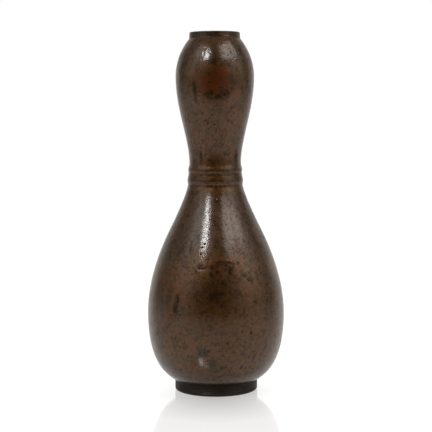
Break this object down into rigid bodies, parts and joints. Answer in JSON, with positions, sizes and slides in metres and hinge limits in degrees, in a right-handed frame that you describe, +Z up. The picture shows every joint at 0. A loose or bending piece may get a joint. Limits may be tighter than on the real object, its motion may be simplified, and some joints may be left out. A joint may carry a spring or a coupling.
{
  "type": "hu vase",
  "caption": "Garlic-mouthed bronze hu vase: an upright lip, a bulb, a slim neck with a beaded sleeve, a pear-shaped body and a turned foot, soldered together from castings.",
  "frame": {"origin": "on the axis, in the plane that the foot stands on", "axes": "+Z up the vessel's axis, -Y towards the front that the picture shows, +X to the right in it"},
  "size_m": [0.1072, 0.1072, 0.28],
  "materials": {
    "body_bronze": "waxed brown patina over cast bronze",
    "rim_bronze": "worn olive-brown patina",
    "foot_bronze": "matt near-black patina with turning lines",
    "chaplet_bronze": "greyer bronze, flush with the wall",
    "solder": "dull grey soft solder, whose density is close to that of brass"
  },
  "bodies": {
    "root": {"lower_body": "body_bronze", "upper_bulb": "body_bronze", "neck_collar": "body_bronze", "mouth_rim": "rim_bronze", "foot_ring": "foot_bronze", "base_plate": "foot_bronze", "body_chaplets": "chaplet_bronze", "bulb_chaplets": "chaplet_bronze", "rim_solder": "solder", "neck_solder": "solder", "foot_solder": "solder", "base_solder": "solder"}
  },
  "joints": []
}
